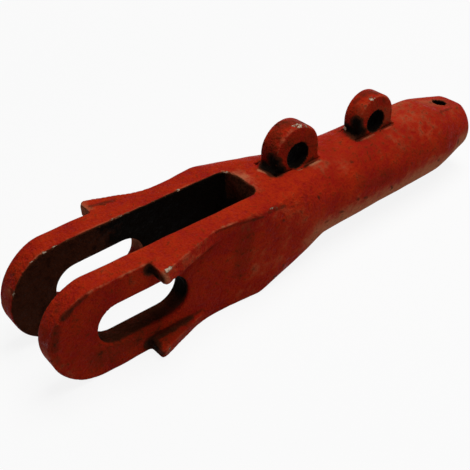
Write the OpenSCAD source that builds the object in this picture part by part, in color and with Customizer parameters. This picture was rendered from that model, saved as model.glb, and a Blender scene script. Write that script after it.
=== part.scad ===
// Forged clevis: a slotted fork with four outward lips, a square block drawn down to a round
// shank, two cross-drilled lugs on top and a tapered, bored nose. One forging, one node.
// Millimetres. Distances along X are measured from the fork tips, heights from the shank's axis.
// The finished part is set down with its underside at z = 0 and its middle over the origin.

/* [Fork] */
// Height of the tangs and of the block behind them
fork_height = 60; // [60:1:66]
// Clear width between the two tangs
fork_gap = 31; // [26:1:35]
// Thickness of each tang
tang_thickness = 14; // [12:0.5:15]
// Depth of the gap, from the tips to its end wall
gap_depth = 149; // [130:1:155]
// Radius in the two corners of the gap's end wall
gap_corner_r = 4; // [2:0.5:8]
// Height of the pin slot through both tangs
slot_height = 27; // [22:0.5:30]
// Overall length of the pin slot
slot_length = 58; // [44:1:62]
// Metal left between the tips and the slot
slot_tip_wall = 28; // [22:1:32]

/* [Lips] */
// Length over which a lip runs out to the side face
lip_run = 38; // [30:1:42]
// Thickness of the two upper lips
lip_upper_thickness = 8.5; // [6:0.5:11]
// How far they stand out from the tangs
lip_upper_out = 13.5; // [8:0.5:15]
// Their front, from the tips
lip_upper_front = 63; // [56:0.5:68]
// Thickness of the two lower lips
lip_lower_thickness = 7; // [5:0.5:10]
// How far they stand out from the tangs
lip_lower_out = 12; // [8:0.5:15]
// Their front, from the tips
lip_lower_front = 58; // [56:0.5:68]
// Radius of a lip's front outer corner
lip_tip_r = 3; // [1.5:0.5:4]
// Radius in the corner between a lip's front and the tang
lip_root_r = 4; // [2:0.5:5]

/* [Block] */
// Width of the block at its widest
block_width = 65.5; // [63:0.5:68]
// Where the block starts to widen, from the tips
flare_start = 105; // [98:1:110]
// Length over which the block widens
flare_length = 36; // [28:1:40]
// Chamfer along the block's four long edges
block_chamfer = 2; // [1.25:0.25:2.75]
// Where the block's corners start to be drawn in, from the tips
draw_start = 140; // [135:1:147]
// Where the block has become the round shank, from the tips
draw_end = 196; // [188:1:205]

/* [Shank] */
// Overall length, fork tips to shank end
overall_length = 344; // [336:1:362]
// Diameter of the shank where it leaves the block
shank_d = 58; // [54:0.5:59]
// Diameter of the shank where its nose starts
shank_rear_d = 55.5; // [53:0.5:58]
// Length of the tapered nose
nose_length = 35.5; // [28:0.5:40]
// Diameter of the shank's end face
nose_d = 38.5; // [36:0.5:44]
// Diameter of the blind bore in the shank end
bore_d = 26; // [22:0.5:28]
// Depth of that bore's full diameter
bore_depth = 110; // [60:1:130]
// Chamfer at the mouth of the bore
bore_chamfer = 2; // [1:0.25:3]

/* [Grease flat] */
// Height of the flat's front edge above the axis
flat_height = 22.25; // [21.5:0.25:23.5]
// How far the flat falls from there to the shank end
flat_fall = 5.5; // [4:0.25:6]
// Start of the slope that leads down to the flat, measured from the shank end
flat_start = 40; // [37:0.5:43]
// Length of that slope
flat_slope = 12; // [8:0.5:14]
// Diameter of the tapped hole through the flat into the bore
grease_hole_d = 9.5; // [6:0.5:11]
// Centre of that hole, measured from the shank end
grease_hole_back = 14.5; // [12.5:0.25:17]

/* [Front lug] */
// Centre of the front lug, from the tips
lug_front_at = 186.5; // [180:0.5:195]
// Radius of its arched top
lug_front_r = 17.5; // [14:0.5:18.5]
// Thickness between its milled faces
lug_front_thickness = 15; // [12:0.5:18]
// Height of the arch's centre above the axis
lug_front_arch = 37; // [35:0.5:42]
// Diameter of its cross hole
lug_front_hole_d = 16.5; // [12:0.5:18]
// Height of the hole's centre above the axis
lug_front_hole_at = 35.5; // [34.5:0.25:40]

/* [Rear lug] */
// Centre of the rear lug, from the tips
lug_rear_at = 255.5; // [245:0.5:265]
// Radius of its arched top
lug_rear_r = 16; // [13:0.5:17]
// Thickness between its milled faces
lug_rear_thickness = 13.5; // [11:0.5:16]
// Height of the arch's centre above the axis
lug_rear_arch = 35.5; // [33.5:0.5:40]
// Diameter of its cross hole
lug_rear_hole_d = 14.5; // [10:0.5:16]
// Height of the hole's centre above the axis
lug_rear_hole_at = 33.75; // [33:0.25:38]

/* [Lug milling] */
// Stock milled off each lug face
milling_stock = 1; // [0.5:0.25:2]
// Width of the ledge the cutter leaves beside a lug
ledge_width = 2.25; // [1.5:0.25:4]
// Depth of the ledge below the bottom of the lug's hole
ledge_below_hole = 0.75; // [0.5:0.25:1.5]

/* [Hidden] */
$fn = 96;

tip_r = fork_height / 2;
block_half = block_width / 2;
shank_r = shank_d / 2;
shank_rear_r = shank_rear_d / 2;
tang_outer = fork_gap / 2 + tang_thickness;
slot_r = slot_height / 2;
// Included angle of the drill that made the bore
drill_point = 118;
// Flats that stand in for the small roundings of a lip
lip_steps = 6;
// How far a cut runs past the metal it removes
past = 1;
// Reach of cuts and outlines that must clear the part sideways
clear_width = 2 * block_width;
clear_height = 2 * fork_height;

// How fast the turned shape closes from the block's corners to the shank
corner_r = norm([block_half, tip_r]);
draw_slope = (corner_r - shank_r) / (draw_end - draw_start);

// Lays a side view drawn in X and Z across the part, centred on the axis
module across(width) {
    rotate([90, 0, 0])
        linear_extrude(width, center = true)
            children();
}

// Repeats a shape on the other side of the part
module both_sides() {
    for (m = [0, 1])
        mirror([0, m, 0])
            children();
}

// Side view of the billet, with the full round tips
module side_outline() {
    translate([tip_r, 0])
        circle(tip_r);
    translate([tip_r, -tip_r])
        square([overall_length, fork_height]);
}

// Plan of the billet: parallel tangs, then a slow widening to the block
module plan_outline() {
    flare_end = flare_start + flare_length;
    reach = overall_length + past;
    half = [
        [-past, tang_outer], [flare_start, tang_outer],
        [flare_end, block_half], [reach, block_half]
    ];
    other_half = [for (i = [len(half) - 1 : -1 : 0]) [half[i].x, -half[i].y]];
    polygon(concat(half, other_half));
}

// The turned shape that draws the block's corners in to the shank and its nose
module turned_shape() {
    rotate([0, 90, 0])
        rotate_extrude()
            polygon([
                [0, -past], [shank_r + draw_slope * (draw_end + past), -past],
                [shank_r, draw_end], [shank_rear_r, overall_length - nose_length],
                [nose_d / 2, overall_length], [0, overall_length]
            ]);
}

// Takes the chamfer off the block's four long edges
module block_edges() {
    inner = block_half - block_chamfer;
    lower = tip_r - block_chamfer;
    for (m = [0, 1])
        mirror([0, 0, m])
            both_sides()
                rotate([90, 0, 90])
                    linear_extrude(overall_length)
                        polygon([
                            [inner - past, tip_r + past],
                            [block_half + past, lower - past],
                            [block_half + past, tip_r + past]
                        ]);
}

// The square billet with its fork and block outlines, turned down at the shank
module billet() {
    difference() {
        intersection() {
            across(clear_width)
                side_outline();
            linear_extrude(clear_height, center = true)
                plan_outline();
            turned_shape();
        }
        block_edges();
    }
}

// Plan of one lip on the +Y side: rounded root, front, rounded tip, then a straight run-out
module lip_outline(out) {
    lean = atan2(out, lip_run);
    // Centre of the tip's rounding, which touches the front and the sloping side
    tip_y = out - lip_tip_r * tan(lean) - lip_tip_r / cos(lean);
    root_arc = [for (i = [0 : lip_steps])
        let (a = 270 + 90 * i / lip_steps)
        lip_root_r * [cos(a) - 1, sin(a) + 1]];
    tip_arc = [for (i = [0 : lip_steps])
        let (a = 180 - (90 + lean) * i / lip_steps)
        [lip_tip_r, tip_y] + lip_tip_r * [cos(a), sin(a)]];
    polygon(concat([[-lip_root_r, -past]], root_arc, tip_arc, [[lip_run, 0], [lip_run, -past]]));
}

// Two lips of one level, standing out from the tangs
module lip_pair(front, out, thickness) {
    both_sides()
        translate([front, tang_outer, 0])
            linear_extrude(thickness)
                lip_outline(out);
}

module lips() {
    translate([0, 0, tip_r - lip_upper_thickness])
        lip_pair(lip_upper_front, lip_upper_out, lip_upper_thickness);
    translate([0, 0, -tip_r])
        lip_pair(lip_lower_front, lip_lower_out, lip_lower_thickness);
}

// An arched lug as forged, before its faces are milled
module rough_lug(at, r, thickness, arch) {
    translate([at, 0, 0])
        across(thickness + 2 * milling_stock) {
            translate([0, arch])
                circle(r);
            translate([-r, 0])
                square([2 * r, arch]);
        }
}

// The cutter's path along both faces of a lug, and the drill's path through it
module lug_machining(at, r, thickness, hole_d, hole_at) {
    half_path = r + ledge_width;
    ledge_z = hole_at - hole_d / 2 - ledge_below_hole;
    both_sides()
        translate([at - half_path, thickness / 2, ledge_z])
            cube([2 * half_path, ledge_width, clear_height]);
    translate([at, 0, hole_at])
        across(clear_width)
            circle(d = hole_d);
}

// The open mouth between the tangs
module fork_gap_cut() {
    half = fork_gap / 2;
    corner = half - gap_corner_r;
    linear_extrude(clear_height, center = true) {
        translate([-past, -half])
            square([gap_depth - gap_corner_r + past, fork_gap]);
        translate([0, -corner])
            square([gap_depth, 2 * corner]);
        both_sides()
            translate([gap_depth - gap_corner_r, corner])
                circle(gap_corner_r);
    }
}

// The pin slot through both tangs
module slot_cut() {
    first = slot_tip_wall + slot_r;
    last = slot_tip_wall + slot_length - slot_r;
    across(clear_width) {
        translate([first, 0])
            circle(slot_r);
        translate([last, 0])
            circle(slot_r);
        translate([first, -slot_r])
            square([last - first, slot_height]);
    }
}

// Blind bore with a drill point, opened by a chamfer at its mouth
module bore_cut() {
    r = bore_d / 2;
    bottom = overall_length - bore_depth;
    point = r / tan(drill_point / 2);
    rotate([0, 90, 0])
        rotate_extrude()
            polygon([
                [0, bottom - point], [r, bottom], [r, overall_length - bore_chamfer],
                [r + bore_chamfer + past, overall_length + past], [0, overall_length + past]
            ]);
}

// The flat that falls along the nose, the slope leading down to it, and its tapped hole
module grease_flat_cut() {
    flat_x = overall_length - flat_start + flat_slope;
    top = shank_r + past;
    slope_per_height = flat_slope / (shank_rear_r - flat_height);
    fall_per_length = flat_fall / (overall_length - flat_x);
    across(clear_width)
        polygon([
            [flat_x - slope_per_height * (top - flat_height), top], [flat_x, flat_height],
            [overall_length + past, flat_height - flat_fall - fall_per_length * past],
            [overall_length + past, top]
        ]);
    translate([overall_length - grease_hole_back, 0, 0])
        cylinder(d = grease_hole_d, h = top);
}

module clevis() {
    color("firebrick")
        translate([-overall_length / 2, 0, tip_r])
            difference() {
                union() {
                    billet();
                    lips();
                    rough_lug(lug_front_at, lug_front_r, lug_front_thickness, lug_front_arch);
                    rough_lug(lug_rear_at, lug_rear_r, lug_rear_thickness, lug_rear_arch);
                }
                fork_gap_cut();
                slot_cut();
                lug_machining(lug_front_at, lug_front_r, lug_front_thickness,
                    lug_front_hole_d, lug_front_hole_at);
                lug_machining(lug_rear_at, lug_rear_r, lug_rear_thickness,
                    lug_rear_hole_d, lug_rear_hole_at);
                bore_cut();
                grease_flat_cut();
            }
}

clevis();
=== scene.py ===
"""Forged clevis in worn red paint, on a pale floor. Metres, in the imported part's own frame."""

import math

import bpy
import numpy as np
from mathutils import Matrix, Vector


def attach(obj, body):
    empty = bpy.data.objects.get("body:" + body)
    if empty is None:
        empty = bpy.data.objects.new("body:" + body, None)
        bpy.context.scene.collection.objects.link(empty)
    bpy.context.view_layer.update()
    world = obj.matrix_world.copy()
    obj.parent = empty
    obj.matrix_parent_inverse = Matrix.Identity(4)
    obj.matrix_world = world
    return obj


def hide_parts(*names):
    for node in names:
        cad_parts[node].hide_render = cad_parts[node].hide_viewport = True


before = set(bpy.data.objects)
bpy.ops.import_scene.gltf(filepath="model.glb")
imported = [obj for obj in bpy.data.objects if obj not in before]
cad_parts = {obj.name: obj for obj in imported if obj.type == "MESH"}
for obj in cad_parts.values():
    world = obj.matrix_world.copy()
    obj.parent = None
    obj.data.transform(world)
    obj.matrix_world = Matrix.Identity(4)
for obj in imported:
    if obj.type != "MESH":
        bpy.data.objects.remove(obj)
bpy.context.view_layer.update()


# The forging
# Fork, lips, block, shank, nose and lugs are one drop-forged steel body, painted red and worn.
# It is shaped as a field of distances to its skin, negative inside the metal, in millimetres:
# x from the fork tips, y across, z from the shank's axis.

TIP_R = 30.0
TANG_OUTER = 29.5
FAR_TIP_SAG = 1.9
FAR_TIP_SHORT = 0.9
SHORT_FADE = 12.0
TIP_SAG_REACH = 46.0
FAR_SLOT_SAG = 2.6
SLOT_SAG_REACH = 112.0
FAR_SWELL = 1.0
SWELL_START = 8.0
SWELL_END = 95.0
SWELL_FADE = 20.0
FORK_EDGE_R = 1.1

BLOCK_HALF = 32.75
FLARE_START = 105.0
FLARE_LENGTH = 36.0
BLOCK_EDGE_R = 2.2
DRAW_END = 196.0
DRAW_SLOPE = 0.272
DRAW_BLEND_START = 121.0
DRAW_BLEND_LENGTH = 30.0
DRAW_BLEND_R = 5.0

LENGTH = 344.0
SHANK_R = 29.0
SHANK_TAPER = 1.25 / 112.5
DRAW_FILL = 0.9
NOSE_R = 19.25
NOSE_SLOPE = 8.5 / 35.5
NOSE_FILL = 1.0
END_EDGE_R = 2.7

MM = 0.001
TO_FRAME = np.array([-LENGTH / 2, 0.0, TIP_R])


def rounded_both(a, b, r):
    """The metal in both fields, with the edge where they meet rounded to r."""
    outside = np.hypot(np.maximum(a + r, 0), np.maximum(b + r, 0))
    return np.minimum(np.maximum(a, b), -r) + outside


def filled_either(a, b, r):
    """The metal in either field, with the corner where they meet filled to r."""
    return -rounded_both(-a, -b, r)


def cut_away(metal, tool, r):
    """The metal that a tool's path leaves, with its rim broken to r."""
    return rounded_both(metal, -tool, r)


def soft_larger(a, b, blend):
    return 0.5 * (a + b + np.sqrt((a - b) ** 2 + blend ** 2))


def ease(t):
    t = np.clip(t, 0, 1)
    return t * t * (3 - 2 * t)


def towards_far_tip(x, y, most, reach):
    """An amount that grows along the far tang towards its tip, up to the most."""
    return most * ease((reach - x) / reach) * ease(2 * y / TANG_OUTER)


def far_swell(x, y):
    """How far the far tang stands out on its outer side."""
    along = ease((x - SWELL_START) / SWELL_FADE) * ease((SWELL_END - x) / SWELL_FADE)
    return FAR_SWELL * along * ease(2 * y / TANG_OUTER)


def billet(x, y, z):
    """Bar with full round tips, widened to the block and drawn down to the shank and nose."""
    z = z + towards_far_tip(x, y, FAR_TIP_SAG, TIP_SAG_REACH)
    upper = ease((z + SHORT_FADE) / (2 * SHORT_FADE))
    short = towards_far_tip(x, y, FAR_TIP_SHORT, TIP_SAG_REACH) * upper
    side = np.hypot(np.minimum(x - TIP_R - short, 0), z) - TIP_R
    flare = (x - FLARE_START) / FLARE_LENGTH
    plan = np.abs(y) - TANG_OUTER - far_swell(x, y) - (BLOCK_HALF - TANG_OUTER) * ease(flare)
    block = rounded_both(side, plan, FORK_EDGE_R + (BLOCK_EDGE_R - FORK_EDGE_R) * ease(flare))
    draw = SHANK_R + DRAW_SLOPE * (DRAW_END - x)
    shank = SHANK_R - SHANK_TAPER * (x - DRAW_END)
    nose = NOSE_R + NOSE_SLOPE * (LENGTH - x)
    radius = -soft_larger(-soft_larger(draw, shank, DRAW_FILL), -nose, NOSE_FILL)
    blend_r = FORK_EDGE_R + DRAW_BLEND_R * ease((x - DRAW_BLEND_START) / DRAW_BLEND_LENGTH)
    drawn = rounded_both(block, np.hypot(y, z) - radius, blend_r)
    return rounded_both(drawn, x - LENGTH, END_EDGE_R)


# The four lips stand out from the tangs' upper and lower edges and run out to their sides.
# Each has a level (+1 upper), a side (+1 far), a front, a reach, a run, a thickness, a draft
# on its outer face and the depth to which its corner is knocked off.
LIPS = [
    (1, -1, 62.8, 13.2, 44.5, 7.7, 0.2, 1.8),
    (1, 1, 62.4, 15.0, 36.0, 9.0, 0.0, 2.2),
    (-1, -1, 58.2, 12.0, 36.5, 7.0, 0.2, 1.4),
    (-1, 1, 58.2, 12.0, 36.5, 7.0, 0.2, 1.4),
]
LIP_TIP_R = 3.0
LIP_EDGE_R = 0.9
LIP_ROOT_R = 1.6
LIP_INSET = 8.0
KNOCK_LEAN = (-0.62, 0.56, 0.55)


def lip(x, y, z, level, side, front, out, run, thickness, draft, knocked):
    along = x - front
    outward = side * y - TANG_OUTER
    height = level * z - TIP_R
    run_out = (along * out + outward * run - out * run) / math.hypot(out, run)
    run_out = run_out + draft * (height + thickness / 2)
    plan = rounded_both(-along, run_out, LIP_TIP_R)
    plan = np.maximum(plan, -LIP_INSET - outward)
    wedge = rounded_both(plan, np.abs(height + thickness / 2) - thickness / 2, LIP_EDGE_R)
    corner = KNOCK_LEAN[0] * along + KNOCK_LEAN[1] * (outward - out) + KNOCK_LEAN[2] * height
    return rounded_both(wedge, corner + knocked, LIP_EDGE_R)


# The two lugs on top of the shank are arched tabs, milled on both faces down to a small ledge
# and drilled across: place, arch radius, thickness, arch height, hole radius and hole height.
LUGS = [
    (186.5, 17.8, 15.0, 37.0, 8.25, 35.5),
    (255.5, 16.4, 13.5, 35.5, 7.25, 33.75),
]
LUG_EDGE_R = 3.2
LUG_ROOT_R = 4.2
LUG_FOOT = 15.0
MILLING_STOCK = 1.0
LEDGE_WIDTH = 2.25
LEDGE_BELOW_HOLE = 0.75
MILLED_EDGE_R = 0.4
HOLE_RIM_R = 0.7


def rough_lug(x, y, z, at, r, thickness, arch):
    outline = np.hypot(x - at, np.maximum(z - arch, 0)) - r
    outline = np.maximum(outline, LUG_FOOT - z)
    return rounded_both(outline, np.abs(y) - thickness / 2 - MILLING_STOCK, LUG_EDGE_R)


def lug_milling(x, y, z, at, r, thickness, hole_r, hole_at):
    ledge_z = hole_at - hole_r - LEDGE_BELOW_HOLE
    across = np.abs(np.abs(y) - (thickness + LEDGE_WIDTH) / 2) - LEDGE_WIDTH / 2
    return np.maximum(np.maximum(across, ledge_z - z), np.abs(x - at) - r - LEDGE_WIDTH)


# Slow unevenness that dies and scale leave on a forging: wavelength and depth of each swell.
SWELLS = [(70, 0.06), (48, 0.055), (33, 0.05), (24, 0.036), (17, 0.03), (12, 0.024), (9, 0.018)]
random = np.random.default_rng(7)
swell_leans = random.normal(size=(len(SWELLS), 3, 3))
swell_starts = random.uniform(0, 2 * math.pi, (len(SWELLS), 3))


def unevenness(x, y, z):
    total = 0.0
    for (length, depth), leans, starts in zip(SWELLS, swell_leans, swell_starts):
        for lean, start in zip(leans, starts):
            lean = lean / np.linalg.norm(lean) * 2 * math.pi / length
            total = total + depth * np.sin(x * lean[0] + y * lean[1] + z * lean[2] + start)
    return total


# The cuts: the mouth between the tangs, the long pin slot, the flat with its grease hole on
# top of the nose, and the blind bore in the shank end.
GAP_HALF = 15.5
GAP_DEPTH = 149.0
GAP_CORNER_R = 7.0
GAP_EDGE_R = 1.3
SLOT_R = 13.5
SLOT_FIRST = 41.5
SLOT_LAST = 72.5
SLOT_RIM_R = 0.8
FLAT_HEIGHT = 22.25
FLAT_START = 316.0
FLAT_SLOPE = 5.5 / 12
FLAT_FALL = 5.5 / 28
FLAT_TOP = 31.0
FLAT_EDGE_R = 0.8
GREASE_HOLE_AT = 329.5
GREASE_HOLE_R = 4.75
BORE_R = 14.8
BORE_MOUTH_R = 15.1
BORE_BOTTOM = 234.0
DRILL_POINT_SLOPE = 0.6
BORE_RIM_R = 1.0


def gap_tool(x, y, z):
    return rounded_both(np.abs(y) - GAP_HALF, x - GAP_DEPTH, GAP_CORNER_R)


def slot_tool(x, y, z):
    middle, half = (SLOT_FIRST + SLOT_LAST) / 2, (SLOT_LAST - SLOT_FIRST) / 2
    z = z + towards_far_tip(x, y, FAR_SLOT_SAG, SLOT_SAG_REACH)
    return np.hypot(np.maximum(np.abs(x - middle) - half, 0), z) - SLOT_R


def forging(x, y, z):
    metal = billet(x, y, z)
    for sizes in LIPS:
        metal = filled_either(metal, lip(x, y, z, *sizes), LIP_ROOT_R)
    metal = np.maximum(metal, np.abs(z) - TIP_R)
    for at, r, thickness, arch, hole_r, hole_at in LUGS:
        metal = filled_either(metal, rough_lug(x, y, z, at, r, thickness, arch), LUG_ROOT_R)
    metal = metal + unevenness(x, y, z)
    metal = cut_away(metal, gap_tool(x, y, z), GAP_EDGE_R)
    metal = cut_away(metal, slot_tool(x, y, z), SLOT_RIM_R)
    for at, r, thickness, arch, hole_r, hole_at in LUGS:
        milling = lug_milling(x, y, z, at, r, thickness, hole_r, hole_at)
        metal = cut_away(metal, milling, MILLED_EDGE_R)
        metal = cut_away(metal, np.hypot(x - at, z - hole_at) - hole_r, HOLE_RIM_R)
    flat = FLAT_HEIGHT + np.maximum(FLAT_SLOPE * (FLAT_START - x), FLAT_FALL * (FLAT_START - x))
    metal = rounded_both(metal, z - np.where(flat > FLAT_TOP, LENGTH, flat), FLAT_EDGE_R)
    grease_hole = np.maximum(np.hypot(x - GREASE_HOLE_AT, y) - GREASE_HOLE_R, -z)
    metal = cut_away(metal, grease_hole, HOLE_RIM_R)
    bore_r = np.minimum(BORE_R, BORE_R + (x - BORE_BOTTOM) / DRILL_POINT_SLOPE)
    bore_r = np.maximum(bore_r, BORE_MOUTH_R + x - LENGTH)
    return cut_away(metal, np.hypot(y, z) - bore_r, BORE_RIM_R)


def slope_of(field, points, reach=0.05):
    """How fast the field grows along each axis at each point."""
    grown = []
    for axis in np.eye(3) * reach:
        grown.append(field(*(points + axis).T) - field(*(points - axis).T))
    return np.stack(grown, axis=1) / (2 * reach)


def skin_of(field, lowest, highest, step):
    """Points and four-sided faces of the surface where a field is zero."""
    axes = [np.arange(low, high + step, step) for low, high in zip(lowest, highest)]
    values = field(*np.meshgrid(*axes, indexing="ij"))
    inside = values < 0
    cells = tuple(n - 1 for n in values.shape)

    def corner(array, offset):
        return array[tuple(slice(o, o + n) for o, n in zip(offset, cells))]

    offsets = [(i, j, k) for i in (0, 1) for j in (0, 1) for k in (0, 1)]
    filled = sum(corner(inside, o).astype(np.int8) for o in offsets)
    crossed = (filled > 0) & (filled < 8)
    number = np.full(cells, -1)
    number[crossed] = np.arange(crossed.sum())
    place = np.stack(np.nonzero(crossed), axis=1).astype(float)

    # Each crossed cell holds one point, the middle of its edges' crossings
    total = np.zeros_like(place)
    count = np.zeros(len(place))
    for axis in range(3):
        for start in (o for o in offsets if o[axis] == 0):
            end = tuple(1 if i == axis else o for i, o in enumerate(start))
            a = corner(values, start)[crossed]
            b = corner(values, end)[crossed]
            hit = (a < 0) != (b < 0)
            spot = np.tile(np.array(start, float), (len(place), 1))
            spot[:, axis] = a / np.where(hit, a - b, 1)
            total[hit] += spot[hit]
            count += hit
    points = np.array(lowest) + step * (place + total / count[:, None])

    # Each crossed edge joins the points of the four cells round it
    faces = []
    for axis in range(3):
        near, far = [slice(1, -1)] * 3, [slice(1, -1)] * 3
        near[axis], far[axis] = slice(0, -1), slice(1, None)
        first, second = inside[tuple(near)], inside[tuple(far)]
        u, v = (axis + 1) % 3, (axis + 2) % 3
        for leaving in (True, False):
            where = np.stack(np.nonzero((first == leaving) & (second != leaving)), axis=1)
            where[:, u] += 1
            where[:, v] += 1
            ring = []
            for du, dv in ((1, 1), (0, 1), (0, 0), (1, 0)):
                cell = where.copy()
                cell[:, u] -= du
                cell[:, v] -= dv
                ring.append(number[tuple(cell.T)])
            faces.append(np.stack(ring if leaving else ring[::-1], axis=1))
    return points, np.concatenate(faces)


SKIN_STEP = 1.15
SKIN_LOWEST = (-3.0, -46.0, -33.0)
SKIN_HIGHEST = (347.0, 46.0, 58.0)
SETTLING_ROUNDS = 3
LEAST_STEEPNESS = 0.2

skin, skin_faces = skin_of(forging, SKIN_LOWEST, SKIN_HIGHEST, SKIN_STEP)
for _ in range(SETTLING_ROUNDS):
    slope = slope_of(forging, skin)
    steep = np.maximum((slope ** 2).sum(axis=1), LEAST_STEEPNESS)
    reach = np.clip(forging(*skin.T) / steep, -SKIN_STEP / 2, SKIN_STEP / 2)
    skin = skin - slope * reach[:, None]
facing = slope_of(forging, skin)
facing /= np.linalg.norm(facing, axis=1, keepdims=True)

clevis_mesh = bpy.data.meshes.new("clevis_forging")
clevis_mesh.from_pydata(((skin + TO_FRAME) * MM).tolist(), [], skin_faces.tolist())
clevis_mesh.polygons.foreach_set("use_smooth", np.ones(len(skin_faces), bool))
clevis_mesh.update()
clevis_mesh.normals_split_custom_set_from_vertices(facing.tolist())
clevis = bpy.data.objects.new("clevis_forging", clevis_mesh)
bpy.context.scene.collection.objects.link(clevis)

# What years of use left on the paint, kept as one amount per point of the skin: how sharp an edge
# is, how deep a recess (grime and painted shade), how much dust (with a painted highlight) and old
# oil (with painted shade) lie there, where it is chipped and how rough it is. A pair of values says
# where an amount starts and over how much it grows.
EDGE_PROBE = 1.3
RECESS_PROBE = 5.0
SHARP_CORNER = 0.2
STROKE_REACH = 1.3
PROBE_WAYS = [(i, j, k) for i in (-1, 0, 1) for j in (-1, 0, 1) for k in (-1, 0, 1)
              if abs(i) + abs(j) + abs(k) in (1, 3)]

x, y, z = skin.T


def bulging(reach):
    """How far the skin bulges out, on average, over a small ball round each point."""
    total = np.zeros(len(skin))
    for way in PROBE_WAYS:
        total += forging(*(skin + reach * np.array(way) / np.linalg.norm(way)).T)
    return total / (len(PROBE_WAYS) * reach * SHARP_CORNER)


def beyond(amount, start, fade):
    """Nothing up to a start, and all of it a fade further on."""
    return ease((amount - start) / fade)


def below(amount, start, fade):
    """Nothing down to a start, and all of it a fade further down."""
    return ease((start - amount) / fade)


def marks(strokes):
    """The strongest of some soft strokes, each from one place to another, r wide either way."""
    amount = np.zeros(len(skin))
    for start, end, r, strength in strokes:
        run = np.subtract(end, start)
        share = np.clip((skin - start) @ run / (run @ run), 0, 1)
        away = np.linalg.norm(skin - start - share[:, None] * run, axis=1)
        amount = np.maximum(amount, strength * ease(STROKE_REACH - away / r))
    return amount


# Knocked edges show thin tan lines. Rims that a pin or bolt fills stay dark.
RIM_SHADE = 0.9
RIM = (2.5, 1.5)

edge = np.clip(bulging(EDGE_PROBE), 0, 1)
# Recesses are darkened by grime and painted shade
recess_shade = np.clip(-bulging(RECESS_PROBE), 0, 1)
edge *= 1 - RIM_SHADE * below(slot_tool(x, y, z), *RIM)
for at, r, thickness, arch, hole_r, hole_at in LUGS:
    edge *= 1 - RIM_SHADE * below(np.hypot(x - at, z - hole_at) - hole_r, *RIM)

# Bare steel on the lip corners, the lug ridges and the edges that get knocked. Each stroke has
# a start, an end, a width and a strength.
CHIPS = [
    ((66.4, -40.4, 29.9), (68.6, -39.8, 29.9), 2.4, 0.72),
    ((63.4, -40.2, -25.0), (62.6, -40.2, -27.5), 1.8, 0.6),
    ((186.5, -4.8, 54.6), (192.0, -5.8, 53.8), 3.4, 0.68),
    ((248.5, -5.8, 49.4), (253.5, -4.8, 51.2), 2.4, 0.5),
    ((163.8, 1.4, 30.0), (164.4, -2.0, 30.0), 2.2, 0.5),
    ((239.2, 5.4, 30.2), (239.1, 4.2, 29.8), 1.7, 1.0),
    ((144.0, -31.4, 27.1), (150.5, -30.8, 26.3), 1.8, 0.62),
    ((145.0, 16.2, 29.7), (148.6, 13.0, 29.7), 1.3, 0.6),
    ((16.0, 16.2, 25.6), (44.0, 16.2, 29.4), 1.0, 0.45),
    ((25.0, 16.1, 28.0), (33.0, 16.1, 29.2), 1.1, 0.62),
    ((66.0, 16.3, 29.8), (79.0, 16.3, 29.8), 0.9, 0.5),
    ((95.0, 16.3, 29.8), (99.0, 16.3, 29.8), 0.9, 0.52),
    ((110.0, 16.3, 29.8), (116.0, 16.3, 29.8), 0.9, 0.52),
    ((7.0, 16.0, 19.2), (2.6, 16.0, 6.0), 1.0, 0.3),
]
chip = marks(CHIPS)

# Tan dust low on the shank and nose and on the lips' ends and edges; a painted highlight along the
# shank's top
LOW_DUST = 1.0
LOW_DUST_ALONG = (150, 45)
LOW_DUST_DOWN = (7, 20)
REAR_DUST = 0.25
REAR_DUST_ALONG = (250, 50)
NOSE_DUST = 1.25
NOSE_DUST_ALONG = (314, 16)
NOSE_DUST_DOWN = (10, 16)
TOP_PAINTED_SHEEN = 0.28
TOP_SHEEN_ALONG = (215, 60)
TOP_SHEEN_UP = (8, 12)
LIP_DUST = 0.35
LIP_DUST_OUT = (TANG_OUTER, 2)
LIP_DUST_UP = (18, 3)
LIP_DUST_FACING = (3 / 13, 10 / 13)

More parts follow.
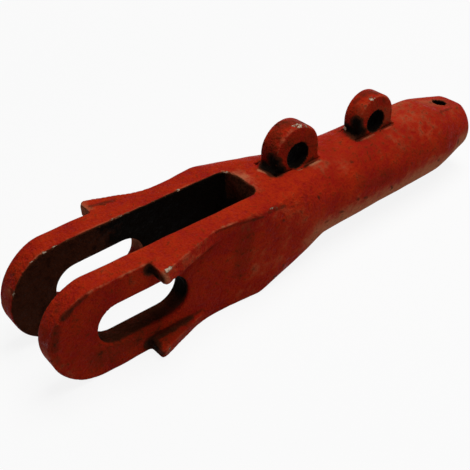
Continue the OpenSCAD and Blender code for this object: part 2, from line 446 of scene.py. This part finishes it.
dust_and_sheen = LOW_DUST * beyond(x, *LOW_DUST_ALONG) * below(z, *LOW_DUST_DOWN)
dust_and_sheen = dust_and_sheen * (1 + REAR_DUST * beyond(x, *REAR_DUST_ALONG))
dust_and_sheen = np.maximum(dust_and_sheen, NOSE_DUST * beyond(x, *NOSE_DUST_ALONG) * below(z, *NOSE_DUST_DOWN))
# A painted highlight along the shank's top, in the dust's tan
dust_and_sheen = np.maximum(dust_and_sheen, TOP_PAINTED_SHEEN * beyond(x, *TOP_SHEEN_ALONG) * beyond(z, *TOP_SHEEN_UP))
for level, side, *_ in LIPS:
    on_lip = beyond(side * y, *LIP_DUST_OUT) * beyond(level * z, *LIP_DUST_UP)
    sideways = beyond(np.abs(facing[:, 1]), *LIP_DUST_FACING)
    dust_and_sheen = np.maximum(dust_and_sheen, LIP_DUST * on_lip * sideways)
DUST_AND_SHEEN_PLACES = [
    ((62.6, 34.0, 26.0), (63.5, 42.0, 25.0), 5.5, 1.05),
    ((85.0, 17.0, 6.0), (85.5, 28.0, 1.0), 8.0, 1.2),
    ((64.0, -41.0, 27.0), (65.5, -41.5, 23.5), 3.0, 0.8),
    ((61.0, -39.5, -26.5), (62.5, -40.0, -26.5), 3.0, 0.8),
    ((1.0, -22.0, -2.0), (6.0, -26.0, -18.0), 8.0, 0.5),
    ((2.0, 22.0, 8.0), (3.0, 26.0, -10.0), 9.0, 0.6),
    # A painted highlight on the shank's top behind the first lug
    ((200.0, -14.0, 26.0), (215.0, -18.0, 24.0), 9.0, 0.3),
    # Lighter over the block's near side
    ((140.0, -32.6, -10.0), (165.0, -31.0, 4.0), 18.0, 0.22),
    ((8.0, 15.8, 20.4), (18.0, 15.7, 26.8), 1.4, 0.6),
    ((18.0, 15.7, 26.8), (45.0, 15.7, 29.4), 1.5, 0.7),
    ((25.0, -29.2, 29.4), (60.0, -29.2, 29.7), 1.1, 0.6),
    ((163.6, 2.0, 30.0), (166.0, -6.8, 30.0), 1.8, 1.1),
    ((166.0, -6.8, 30.0), (171.0, -10.0, 27.4), 1.5, 1.0),
    ((171.0, -10.0, 27.2), (187.0, -10.2, 26.6), 1.5, 1.2),
    ((194.0, -10.2, 26.6), (203.0, -10.0, 27.0), 1.5, 1.1),
    ((239.5, -8.8, 26.6), (252.0, -9.2, 26.0), 1.4, 0.9),
    ((182.0, -6.2, 54.0), (172.8, -6.4, 48.0), 1.7, 0.65),
    ((45.0, 16.3, 29.7), (146.0, 16.3, 29.8), 1.0, 0.55),
    ((146.0, 16.2, 29.7), (150.2, 8.0, 29.8), 1.3, 1.0),
    ((150.2, 8.0, 29.6), (150.0, -12.0, 29.6), 1.2, 0.7),
    ((149.0, 6.0, 26.0), (149.0, -12.0, 22.0), 9.0, 0.9),
    ((110.0, -29.3, 29.9), (141.5, -31.6, 27.4), 1.1, 0.7),
    ((318.0, 2.0, 22.0), (334.0, 0.0, 18.8), 9.0, 0.5),
    ((7.0, 15.8, 19.0), (2.6, 15.8, 6.0), 1.2, 0.5),
]
dust_and_sheen = np.maximum(dust_and_sheen, marks(DUST_AND_SHEEN_PLACES))

# Old oil and soot in the gap, the slot and the holes, and in the corners that hold it, deepened
# with painted shade there
STAINS_AND_SHADE = [
    ((10.5, -29.3, 21.2), (14.5, -29.5, 23.6), 2.6, 0.68),
    ((15.5, -29.5, 24.4), (24.5, -29.5, 28.4), 2.0, 0.58),
    ((10.5, -24.0, 23.0), (12.5, -21.5, 24.5), 3.0, 0.4),
    # Painted shade in a band down the near tip's rounded rim
    ((6.4, -29.3, 17.0), (3.0, -29.5, 4.0), 3.6, 0.48),
    ((2.8, -29.5, 2.0), (3.6, -29.5, -5.0), 3.0, 0.36),
    # Painted shade and grime on the near lips' front faces, darkest in the corner with the tang
    ((62.4, -30.0, 25.5), (62.6, -34.5, 25.0), 5.0, 1.1),
    ((62.6, -35.0, 25.5), (62.8, -39.0, 25.0), 4.0, 0.7),
    ((57.6, -30.0, -24.5), (58.0, -33.5, -25.5), 5.5, 1.1),
    ((58.2, -34.0, -26.0), (58.4, -38.5, -26.0), 4.0, 0.7),
    ((65.5, 35.4, 30.0), (78.5, 31.5, 30.0), 2.0, 0.6),
    ((58.0, 31.0, 26.0), (60.5, 34.0, 25.0), 4.0, 0.4),
    ((24.0, -29.5, -16.0), (60.0, -29.5, -17.0), 10.0, 0.42),
    ((180.0, -8.0, 44.0), (194.0, -8.0, 40.0), 12.0, 0.4),
    ((250.0, -7.0, 42.0), (262.0, -7.0, 38.0), 11.0, 0.3),
    ((169.0, 2.0, 42.0), (174.0, 0.0, 50.0), 8.0, 0.38),
    # Painted shade along the near lower lip's root and on its top, under the tang
    ((62.0, -31.0, -22.6), (86.0, -30.0, -22.6), 2.4, 0.6),
    ((66.0, -35.0, -23.0), (80.0, -33.0, -23.0), 6.0, 0.38),
    ((7.9, 21.8, 19.3), (7.4, 22.2, 18.6), 2.0, 0.6),
    ((3.8, 17.4, 12.6), (3.6, 17.2, 11.6), 1.8, 0.55),
    ((189.8, -10.2, 27.0), (192.0, -9.4, 26.6), 1.8, 0.9),
    ((185.7, -27.9, 16.6), (186.0, -27.9, 14.4), 1.3, 0.65),
    ((221.7, -18.9, 22.1), (223.4, -19.2, 21.6), 1.2, 0.6),
    ((199.0, -21.5, 21.2), (201.2, -21.6, 20.2), 1.2, 0.45),
    ((219.6, -28.4, -0.4), (221.2, -28.4, -1.2), 1.7, 0.5),
    ((226.5, -28.3, -2.4), (229.5, -28.2, -3.6), 1.6, 0.5),
    ((253.0, -27.6, -5.0), (255.0, -27.2, -8.0), 1.4, 0.65),
    ((271.8, -27.6, 5.2), (272.4, -27.6, 4.0), 1.6, 0.4),
    ((204.0, -28.6, -3.6), (207.0, -28.6, -4.4), 1.5, 0.5),
    ((191.0, -29.4, -4.8), (194.0, -29.2, -5.4), 1.5, 0.5),
    ((326.5, -23.2, 0.0), (327.0, -23.0, -3.0), 1.4, 0.65),
    ((301.0, -26.9, -4.6), (303.0, -26.6, -5.6), 1.5, 0.5),
    ((160.5, -30.6, 21.6), (163.0, -30.6, 20.4), 1.3, 0.5),
    ((142.0, -31.9, 26.4), (156.0, -30.6, 24.4), 1.6, 0.5),
    # Painted shade in a thin line under the block's near top edge
    ((106.0, -29.8, 28.8), (122.0, -31.3, 27.9), 1.3, 0.5),
    ((122.0, -31.3, 27.9), (138.0, -32.7, 26.0), 1.4, 0.55),
    # Darker down the near side where the tang flares into the block
    ((126.0, -31.8, 22.0), (122.0, -31.0, -6.0), 9.0, 0.36),
    ((152.5, -32.6, 16.8), (153.4, -32.6, 15.8), 1.5, 0.55),
    ((146.9, -31.7, -23.4), (148.5, -31.7, -24.4), 1.6, 0.65),
    ((153.8, -31.9, -18.0), (154.6, -31.9, -19.4), 1.4, 0.6),
    ((167.6, -31.4, 15.4), (168.6, -31.4, 14.0), 1.3, 0.45),
    ((314.6, -12.8, 22.0), (330.0, -10.6, 19.2), 1.3, 0.55),
    ((330.0, -10.6, 19.2), (334.0, -5.0, 18.7), 1.2, 0.42),
    ((205.0, -8.0, 28.0), (330.0, -4.0, 22.0), 24.0, 0.26),
    ((224.0, -26.0, 11.0), (250.0, -27.0, 4.0), 9.0, 0.3),
    ((280.0, -25.0, 10.0), (318.0, -23.0, 9.0), 10.0, 0.22),
    # Darker over the near tang's outer side
    ((14.0, -29.5, -6.0), (58.0, -29.5, -22.0), 15.0, 0.24),
    ((6.0, -29.5, 8.0), (80.0, -29.5, 20.0), 15.0, 0.2),
    ((262.0, -22.0, 17.0), (276.0, -24.0, 14.0), 10.0, 0.26),
    ((318.0, 0.0, 22.0), (334.0, 0.0, 18.8), 10.0, 0.33),
    ((180.0, 3.0, 54.5), (195.0, -2.0, 53.0), 6.5, 0.52),
    ((252.0, 2.0, 51.0), (263.0, -1.0, 49.0), 5.5, 0.5),
    ((244.6, 3.0, 47.6), (247.0, 1.6, 49.2), 2.4, 0.52),
    ((256.6, -3.8, 51.8), (260.0, -3.0, 51.4), 2.0, 0.52),
    ((261.0, -6.7, 47.6), (262.4, -6.7, 45.4), 2.0, 0.46),
]
# Painted shade and grime in the corner at each lug's foot, placed from where its front meets the
# shank
FOOT_STAINS_AND_SHADE = [
    ((0.0, -4.6, 7.0), (0.3, -6.4, 1.5), 6.5, 1.3),
    ((1.5, -2.5, 14.0), (0.2, -4.5, 8.0), 8.0, 0.4),
    ((1.5, -7.2, 2.5), (5.0, -7.3, 0.0), 4.0, 1.2),
    ((-0.8, 3.0, 1.0), (-0.6, -5.0, 0.8), 4.0, 1.3),
]
GAP_WALL = (0.8, 0.6)
GAP_OIL_AND_SHADE = 0.88
DEEP_GAP_OIL_AND_SHADE = 0.6
DEEP_GAP_ALONG = (45, 45)
END_WALL_FACING = (0.5, 1 / 3)
END_WALL_CLEAN = 0.95
END_WALL_LOW_OIL = 0.75
END_WALL_LOW = (22, 16)
SLOT_WALL = (0.6, 0.8)
SLOT_RIM_CLEAN = (TANG_OUTER + 0.5, 4)
FAR_SLOT_OIL = 0.45
NEAR_SLOT_OIL_AND_SHADE = 1.75
SLOT_FLOOR_CLEAN = 0.85
SLOT_FLOOR_FACING = (0.2, 0.8)
HOLE_OIL_AND_SHADE = 1.4
HOLE_WALL = (0.6, 0.5)
HOLE_WALL_MARGIN = 3
GREASE_HOLE_WALL = (0.4, 0.4)
BORE_OIL = 0.8
BORE_WALL_MARGIN = 0.4
BORE_POINT_MARGIN = 12

in_gap = below(gap_tool(x, y, z), *GAP_WALL)
at_end = beyond(-facing[:, 0], *END_WALL_FACING)
end_clean = at_end * (END_WALL_CLEAN - END_WALL_LOW_OIL * below(z, *END_WALL_LOW))
oil_and_shade = in_gap * (GAP_OIL_AND_SHADE + DEEP_GAP_OIL_AND_SHADE * beyond(x, *DEEP_GAP_ALONG) - end_clean)
in_slot = below(slot_tool(x, y, z), *SLOT_WALL) * below(np.abs(y), *SLOT_RIM_CLEAN)
near_slot_oil_and_shade = NEAR_SLOT_OIL_AND_SHADE - SLOT_FLOOR_CLEAN * beyond(facing[:, 2], *SLOT_FLOOR_FACING)
oil_and_shade = np.maximum(oil_and_shade, in_slot * np.where(y > 0, FAR_SLOT_OIL, near_slot_oil_and_shade))
for at, r, thickness, arch, hole_r, hole_at in LUGS:
    in_hole = below(np.hypot(x - at, z - hole_at) - hole_r, *HOLE_WALL)
    in_hole = in_hole * (np.abs(y) < thickness / 2 + HOLE_WALL_MARGIN)
    oil_and_shade = np.maximum(oil_and_shade, HOLE_OIL_AND_SHADE * in_hole)
    foot = np.array([at - r, 0.0, TIP_R])
    oil_and_shade = np.maximum(oil_and_shade, marks([(foot + a, foot + b, wide, strength)
                                 for a, b, wide, strength in FOOT_STAINS_AND_SHADE]))
in_grease_hole = below(np.hypot(x - GREASE_HOLE_AT, y) - GREASE_HOLE_R, *GREASE_HOLE_WALL)
oil_and_shade = np.maximum(oil_and_shade, HOLE_OIL_AND_SHADE * in_grease_hole * (z > 0))
in_bore = (np.hypot(y, z) < BORE_R + BORE_WALL_MARGIN) & (x > BORE_BOTTOM - BORE_POINT_MARGIN)
oil_and_shade = np.maximum(oil_and_shade, BORE_OIL * in_bore)
oil_and_shade = np.maximum(oil_and_shade, marks(STAINS_AND_SHADE))

# Forge scale leaves the fork and the block rough, and the turned shank smoother
FORK_ROUGH = 0.9
SHANK_ROUGH = 0.5
SHANK_ROUGH_ALONG = (165, 40)

rough = FORK_ROUGH + (SHANK_ROUGH - FORK_ROUGH) * beyond(x, *SHANK_ROUGH_ALONG)

for name, amount in (("edge", edge), ("recess_shade", recess_shade), ("dust_and_sheen", dust_and_sheen), ("oil_and_shade", oil_and_shade),
                     ("chip", chip), ("rough", rough)):
    layer = clevis_mesh.attributes.new(name, "FLOAT", "POINT")
    layer.data.foreach_set("value", amount.astype(np.float32))


def shader_step(tree, kind, feeds=None, **settings):
    """Adds one node to a material, with its settings, and sets or wires its inputs."""
    step = tree.nodes.new(kind)
    for name, value in settings.items():
        setattr(step, name, value)
    for socket, value in (feeds or {}).items():
        if isinstance(value, bpy.types.NodeSocket):
            tree.links.new(value, step.inputs[socket])
        else:
            step.inputs[socket].default_value = value
    return step


GRAIN_ROUGHNESS = 0.6


def grain(tree, place, scale, detail):
    noise = shader_step(tree, "ShaderNodeTexNoise", {
        "Vector": place, "Scale": scale, "Detail": detail, "Roughness": GRAIN_ROUGHNESS})
    return noise.outputs["Fac"]


def amount_at(tree, name):
    return shader_step(tree, "ShaderNodeAttribute", attribute_name=name).outputs["Fac"]


def sums(tree, first, *others):
    """Adds up amounts, each an output or an (output, share) pair."""
    total = first
    for other in others:
        other, share = other if isinstance(other, tuple) else (other, 1.0)
        total = shader_step(tree, "ShaderNodeMath", {0: other, 1: share, 2: total},
                            operation="MULTIPLY_ADD").outputs[0]
    return total


def between(tree, amount, low, high, most=1.0):
    """Nothing at low, the most at high, with a soft change between."""
    return shader_step(tree, "ShaderNodeMapRange", {
        "Value": amount, "From Min": low, "From Max": high, "To Max": most},
        interpolation_type="SMOOTHSTEP").outputs["Result"]


def blend(tree, share, under, over):
    mixed = shader_step(tree, "ShaderNodeMix", {0: share, 6: under, 7: over}, data_type="RGBA")
    return mixed.outputs[2]


PAINT_CRIMSON = (0.25, 0.0085, 0.0045, 1)
PAINT_ORANGE = (0.375, 0.0225, 0.004, 1)
WORN_EDGE = (0.42, 0.095, 0.045, 1)
# The tan serves dust and a painted highlight; the two darks serve grime, old oil and painted shade
DUST_TAN_AND_SHEEN = (0.385, 0.150, 0.072, 1)
GRIME_AND_SHADE = (0.048, 0.012, 0.005, 1)
OLD_OIL_AND_SHADE = (0.005, 0.003, 0.002, 1)
RUST = (0.10, 0.030, 0.012, 1)
BARE_STEEL = (0.32, 0.24, 0.175, 1)
PAINT_SHEEN = 0.008
BARE_METALLIC = 0.5
SCALE_HEIGHT = 0.0012

# Scale and detail of each grain, and the amounts between which each layer comes in, with its most
PATCHES = (38.0, 4.0)
MOTTLE = (210.0, 4.0)
FINE_GRAIN = (620.0, 3.0)
ORANGE_RANGE = (1.15, 1.85)
WORN_RANGE = (2.0, 2.7, 0.6)
DUST_AND_SHEEN_RANGE = (1.55, 2.7, 0.8)
SPECK_RANGE = (0.98, 1.15, 0.5)
GRIME_AND_RECESS_SHADE_RANGE = (0.9, 1.6, 0.8)
STAIN_AND_SHADE_RANGE = (0.7, 1.4)
OIL_AND_SHADE_RANGE = (1.45, 1.85)
RUST_RANGE = (1.9, 2.05, 0.8)
BARE_RANGE = (2.05, 2.2)
ROUGHNESS_RANGE = (0.2, 1.2, 0.8)

paint = bpy.data.materials.new("worn_red_paint")
paint.use_nodes = True
tree = paint.node_tree
shader = tree.nodes["Principled BSDF"]
shader.inputs["Specular IOR Level"].default_value = PAINT_SHEEN
place = shader_step(tree, "ShaderNodeTexCoord").outputs["Object"]
patches = grain(tree, place, *PATCHES)
mottle = grain(tree, place, *MOTTLE)
fine = grain(tree, place, *FINE_GRAIN)
edges = amount_at(tree, "edge")

hues = sums(tree, mottle, (patches, 1.2), (fine, 0.8))
colour = blend(tree, between(tree, hues, *ORANGE_RANGE), PAINT_CRIMSON, PAINT_ORANGE)
worn = sums(tree, edges, (patches, 1.2), mottle, (fine, 0.6))
colour = blend(tree, between(tree, worn, *WORN_RANGE), colour, WORN_EDGE)
# Dust, and a painted highlight on the shank's top, in tan
dusty_and_sheen = sums(tree, amount_at(tree, "dust_and_sheen"), (mottle, 1.5), (patches, 1.3))
colour = blend(tree, between(tree, dusty_and_sheen, *DUST_AND_SHEEN_RANGE), colour, DUST_TAN_AND_SHEEN)
specks = sums(tree, fine, (mottle, 0.8))
colour = blend(tree, between(tree, specks, *SPECK_RANGE), colour, GRIME_AND_SHADE)
# Grime and painted shade in the recesses
grime_and_recess_shade = sums(tree, amount_at(tree, "recess_shade"), (mottle, 1.2))
colour = blend(tree, between(tree, grime_and_recess_shade, *GRIME_AND_RECESS_SHADE_RANGE), colour, GRIME_AND_SHADE)
# Old oil, with painted shade deep in the gap, the near slot and the holes
soaked_and_shaded = sums(tree, amount_at(tree, "oil_and_shade"), (mottle, 0.8), (fine, 0.4))
colour = blend(tree, between(tree, soaked_and_shaded, *STAIN_AND_SHADE_RANGE), colour, GRIME_AND_SHADE)
colour = blend(tree, between(tree, soaked_and_shaded, *OIL_AND_SHADE_RANGE), colour, OLD_OIL_AND_SHADE)
chipped = sums(tree, amount_at(tree, "chip"), (edges, 0.3), (mottle, 1.6), (fine, 1.2))
bare = between(tree, chipped, *BARE_RANGE)
colour = blend(tree, between(tree, chipped, *RUST_RANGE), colour, RUST)
colour = blend(tree, bare, colour, BARE_STEEL)
tree.links.new(colour, shader.inputs["Base Color"])
tree.links.new(between(tree, chipped, *BARE_RANGE, BARE_METALLIC), shader.inputs["Metallic"])
roughness = between(tree, sums(tree, mottle, (dusty_and_sheen, 0.2)), *ROUGHNESS_RANGE)
tree.links.new(roughness, shader.inputs["Roughness"])
height = sums(tree, fine, (mottle, 1.6), (patches, 1.0), (bare, -0.5))
bump = shader_step(tree, "ShaderNodeBump", {
    "Strength": amount_at(tree, "rough"), "Distance": SCALE_HEIGHT, "Height": height})
tree.links.new(bump.outputs["Normal"], shader.inputs["Normal"])
clevis_mesh.materials.append(paint)

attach(clevis, "root")
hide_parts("clevis")


# The thread in the bore
# A coarse internal thread is cut in the shank's bore, of turned steel under old grease. It is
# one helical sleeve with its back sunk in the metal, and it opens in a countersink.

THREAD_PITCH = 3.5
THREAD_CREST_R = 13.0
THREAD_ROOT_R = 14.7
THREAD_BACK_R = 15.1
THREAD_FLANK = 1.3
THREAD_START = 0.6
THREAD_END = 84.0
COUNTERSINK = 2.4
SPOTS_ROUND = 96
ROWS_PER_TURN = 12

turn = np.arange(SPOTS_ROUND) / SPOTS_ROUND
deep = np.arange(THREAD_START, THREAD_END, THREAD_PITCH / ROWS_PER_TURN)
ridge = np.abs(2 * ((deep[:, None] / THREAD_PITCH + turn) % 1) - 1)
flank = np.clip(0.5 + THREAD_FLANK * (ridge - 0.5), 0, 1)
thread_r = THREAD_CREST_R + (THREAD_ROOT_R - THREAD_CREST_R) * flank
thread_r = np.maximum(thread_r, THREAD_CREST_R + COUNTERSINK - deep[:, None])
back = np.full((1, SPOTS_ROUND), THREAD_BACK_R)
thread_r = np.concatenate([thread_r, back, back])
deep = np.concatenate([deep, deep[-1:], deep[:1]])

rows = len(deep)
round_y = thread_r * np.cos(2 * math.pi * turn)
round_z = thread_r * np.sin(2 * math.pi * turn)
thread_x = np.broadcast_to(LENGTH - deep[:, None], thread_r.shape)
thread_points = np.stack([thread_x, round_y, round_z], axis=-1).reshape(-1, 3)
thread_faces = []
for row in range(rows):
    this, after = row * SPOTS_ROUND, (row + 1) % rows * SPOTS_ROUND
    for i in range(SPOTS_ROUND):
        j = (i + 1) % SPOTS_ROUND
        thread_faces.append((this + i, after + i, after + j, this + j))

thread_mesh = bpy.data.meshes.new("bore_thread")
thread_mesh.from_pydata(((thread_points + TO_FRAME) * MM).tolist(), [], thread_faces)
thread = bpy.data.objects.new("bore_thread", thread_mesh)
bpy.context.scene.collection.objects.link(thread)

GREASED_STEEL = (0.10, 0.08, 0.065, 1)
OLD_GREASE = (0.025, 0.016, 0.010, 1)
SMEARS = (160.0, 4.0)
SMEAR_RANGE = (0.4, 0.65)
STEEL_ROUGHNESS_RANGE = (1.2, -0.4)
STEEL_METALLIC = 0.8

turned = bpy.data.materials.new("greased_steel")
turned.use_nodes = True
tree = turned.node_tree
shader = tree.nodes["Principled BSDF"]
place = shader_step(tree, "ShaderNodeTexCoord").outputs["Object"]
smears = between(tree, grain(tree, place, *SMEARS), *SMEAR_RANGE)
tree.links.new(blend(tree, smears, GREASED_STEEL, OLD_GREASE), shader.inputs["Base Color"])
tree.links.new(between(tree, smears, *STEEL_ROUGHNESS_RANGE), shader.inputs["Roughness"])
shader.inputs["Metallic"].default_value = STEEL_METALLIC
thread_mesh.materials.append(turned)

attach(thread, "root")
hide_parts("clevis")


# The floor
# A plain pale board under the clevis, far wider than the view. It shows nearly white to the
# camera and in reflections, and white further out, with the shadow of the clevis kept on it.

FLOOR_HALF = 5.0
FLOOR_GREY = (0.66, 0.66, 0.66, 1)
WHITE_NEAR = 0.88
WHITENING_START = 0.3
WHITENING_END = 1.5

floor_mesh = bpy.data.meshes.new("floor")
floor_mesh.from_pydata([(FLOOR_HALF * u, FLOOR_HALF * v, 0.0)
                        for u, v in ((-1, -1), (1, -1), (1, 1), (-1, 1))], [], [(0, 1, 2, 3)])
floor = bpy.data.objects.new("floor", floor_mesh)
bpy.context.scene.collection.objects.link(floor)


def shown_rays(tree):
    """One for the rays by which the camera, a gloss or a glass sees the background."""
    rays = shader_step(tree, "ShaderNodeLightPath").outputs
    seen = rays["Is Camera Ray"]
    for kind in ("Is Glossy Ray", "Is Transmission Ray"):
        seen = shader_step(tree, "ShaderNodeMath", {0: seen, 1: rays[kind]},
                           operation="MAXIMUM").outputs[0]
    return seen


floor_finish = bpy.data.materials.new("pale_floor")
floor_finish.use_nodes = True
tree = floor_finish.node_tree
tree.nodes.clear()
spot = shader_step(tree, "ShaderNodeTexCoord").outputs["Object"]
far_out = shader_step(tree, "ShaderNodeVectorMath", {0: spot}, operation="LENGTH").outputs["Value"]
whitened = shader_step(tree, "ShaderNodeMapRange", {
    "Value": far_out, "From Min": WHITENING_START, "From Max": WHITENING_END,
    "To Min": WHITE_NEAR}).outputs["Result"]
seen = shown_rays(tree)
share = shader_step(tree, "ShaderNodeMath", {0: seen, 1: whitened}, operation="MULTIPLY").outputs[0]
matt = shader_step(tree, "ShaderNodeBsdfDiffuse", {"Color": FLOOR_GREY}).outputs[0]
white = shader_step(tree, "ShaderNodeEmission", {"Strength": 1.0}).outputs[0]
floor_mix = shader_step(tree, "ShaderNodeMixShader", {0: share, 1: matt, 2: white}).outputs[0]
shader_step(tree, "ShaderNodeOutputMaterial", {"Surface": floor_mix})
floor_mesh.materials.append(floor_finish)


# The studio
# One wide soft lamp hangs over the clevis, a little behind it, and the pale floor throws some of
# its light back up. The room is dim, and white to the camera and in reflections.

ROOM_LIGHT = 0.03
LAMP_PLACE = (0.22, -0.07, 1.15)
LAMP_AIM = (0.0, 0.0, 0.03)
LAMP_SIZE = (0.9, 0.7)
LAMP_WATTS = 15.9

world = bpy.data.worlds.new("studio")
bpy.context.scene.world = world
world.use_nodes = True
tree = world.node_tree
tree.nodes.clear()
shown = shown_rays(tree)
dim = shader_step(tree, "ShaderNodeBackground", {"Color": (1, 1, 1, 1), "Strength": ROOM_LIGHT})
white = shader_step(tree, "ShaderNodeBackground", {"Color": (1, 1, 1, 1), "Strength": 1.0})
room = shader_step(tree, "ShaderNodeMixShader", {0: shown, 1: dim.outputs[0], 2: white.outputs[0]})
shader_step(tree, "ShaderNodeOutputWorld", {"Surface": room.outputs[0]})

lamp_light = bpy.data.lights.new("overhead_lamp", "AREA")
lamp_light.shape = "RECTANGLE"
lamp_light.size, lamp_light.size_y = LAMP_SIZE
lamp_light.energy = LAMP_WATTS
lamp = bpy.data.objects.new("overhead_lamp", lamp_light)
lamp.location = LAMP_PLACE
lamp.rotation_euler = (Vector(LAMP_AIM) - Vector(LAMP_PLACE)).to_track_quat("-Z", "Y").to_euler()
bpy.context.scene.collection.objects.link(lamp)


# The camera
# A long lens that looks down along the fork from its near side, level to within two degrees.

CAMERA_PLACE = (-0.27457, -0.31510, 0.32064)
CAMERA_HEADING = -37.849
CAMERA_ELEVATION = 36.781
CAMERA_ROLL = -1.510
CAMERA_LENS = 61.683
CAMERA_SENSOR = 36.0
CAMERA_CLIP = 0.01

camera_lens = bpy.data.cameras.new("camera")
camera_lens.sensor_width = CAMERA_SENSOR
camera_lens.lens = CAMERA_LENS
camera_lens.clip_start = CAMERA_CLIP
camera = bpy.data.objects.new("camera", camera_lens)
camera.matrix_world = (
    Matrix.Translation(CAMERA_PLACE)
    @ Matrix.Rotation(math.radians(CAMERA_HEADING), 4, "Z")
    @ Matrix.Rotation(math.radians(90 - CAMERA_ELEVATION), 4, "X")
    @ Matrix.Rotation(math.radians(CAMERA_ROLL), 4, "Z")
)
bpy.context.scene.collection.objects.link(camera)
bpy.context.scene.camera = camera
bpy.context.scene.view_settings.view_transform = "Standard"
